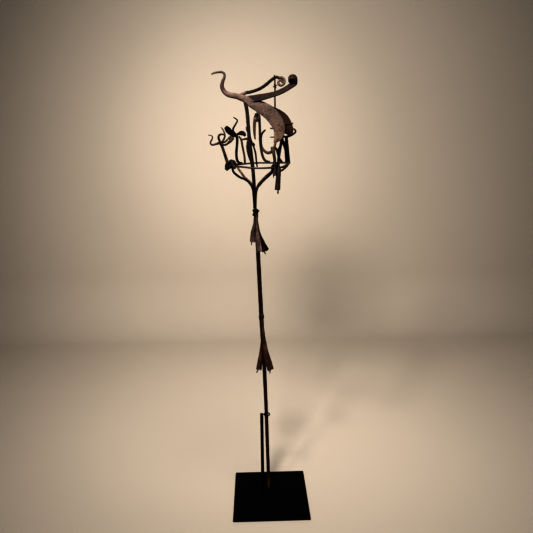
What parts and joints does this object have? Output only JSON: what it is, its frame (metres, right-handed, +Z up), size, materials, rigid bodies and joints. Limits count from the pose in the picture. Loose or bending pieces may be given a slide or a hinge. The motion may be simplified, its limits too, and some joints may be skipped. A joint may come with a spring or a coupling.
{
  "type": "ceremonial healing staff",
  "caption": "Forged-iron staff on a plate stand: a long-necked bird on top, small birds round a hoop, rolled-sheet bells below.",
  "frame": {"origin": "centre of the stand plate's underside", "axes": "+X to the right in the front view, +Y away from the front, +Z up along the upright staff"},
  "size_m": [0.365, 0.3377, 1.7062],
  "materials": {
    "forged_iron": "hammered, dark brown-black patina with red-brown rust",
    "rusted_sheet_iron": "thin hammered sheet, pitted, matt brown rust over grey-brown",
    "iron_wire": "dull dark wire, rusted in the hollows",
    "black_stand": "satin black paint on steel"
  },
  "bodies": {
    "root": {"arm_back_left": "forged_iron", "arm_back_right": "forged_iron", "arm_front_left": "forged_iron", "arm_front_right": "forged_iron", "bell_lower_left": "rusted_sheet_iron", "bell_lower_right": "rusted_sheet_iron", "bell_upper_left": "rusted_sheet_iron", "bell_upper_right": "rusted_sheet_iron", "binding_lower": "iron_wire", "binding_upper": "iron_wire", "clapper_lower_left": "forged_iron", "clapper_lower_right": "forged_iron", "clapper_upper_left": "forged_iron", "clapper_upper_right": "forged_iron", "crowning_bird": "forged_iron", "hoop": "forged_iron", "hoop_bell_front": "rusted_sheet_iron", "hoop_bell_left": "rusted_sheet_iron", "hoop_bell_long": "rusted_sheet_iron", "hoop_bell_short": "rusted_sheet_iron", "hoop_binding_left": "iron_wire", "hoop_binding_right": "iron_wire", "hoop_clapper_front": "forged_iron", "hoop_clapper_left": "forged_iron", "hoop_clapper_long": "forged_iron", "hoop_clapper_short": "forged_iron", "ring_bird_1": "forged_iron", "ring_bird_10": "forged_iron", "ring_bird_2": "forged_iron", "ring_bird_3": "forged_iron", "ring_bird_4": "forged_iron", "ring_bird_5": "forged_iron", "ring_bird_6": "forged_iron", "ring_bird_7": "forged_iron", "ring_bird_8": "forged_iron", "ring_bird_9": "forged_iron", "shaft": "forged_iron", "stand_bar": "black_stand", "stand_plate": "black_stand", "stand_ring": "black_stand", "tie_wire": "iron_wire"}
  },
  "joints": []
}
